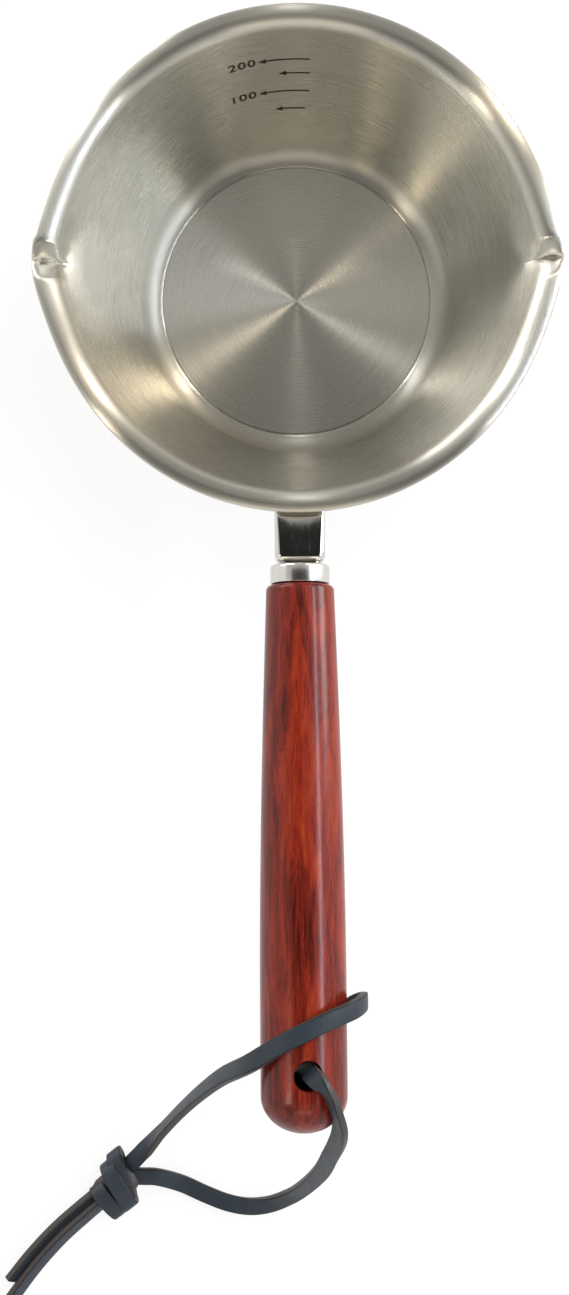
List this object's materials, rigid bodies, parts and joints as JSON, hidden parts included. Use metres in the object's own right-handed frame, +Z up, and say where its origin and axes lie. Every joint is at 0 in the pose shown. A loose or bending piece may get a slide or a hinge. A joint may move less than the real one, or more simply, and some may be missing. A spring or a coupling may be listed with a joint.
{
  "type": "oil pouring pan",
  "caption": "Small steel pan with a flared lip and pouring spouts on both sides, a turned wooden handle on a steel bracket, and a knotted leather hanging strap, for heating and pouring oil.",
  "frame": {"origin": "middle of the flat underside of the bowl, on the surface the pan stands on", "axes": "+Z up out of the bowl, -Y along the handle away from the bowl, X through the two spouts"},
  "size_m": [0.136, 0.3121, 0.0656],
  "materials": {
    "brushed_steel_bowl": "stainless sheet, satin brushed in circles, lip polished",
    "polished_steel": "stainless sheet, mirror polished",
    "zinc_steel": "zinc plated steel",
    "lacquered_wood": "red-brown hardwood, turned, clear gloss lacquer",
    "dark_leather": "dark grey flat leather thong, smooth face"
  },
  "bodies": {
    "root": {"bowl": "brushed_steel_bowl", "handle_bracket": "polished_steel", "handle_bolt": "zinc_steel", "ferrule": "polished_steel", "handle_grip": "lacquered_wood", "strap_end_run": "dark_leather", "strap_over_run": "dark_leather", "strap_knot": "dark_leather", "strap_tail_a": "dark_leather", "strap_tail_b": "dark_leather"}
  },
  "joints": []
}
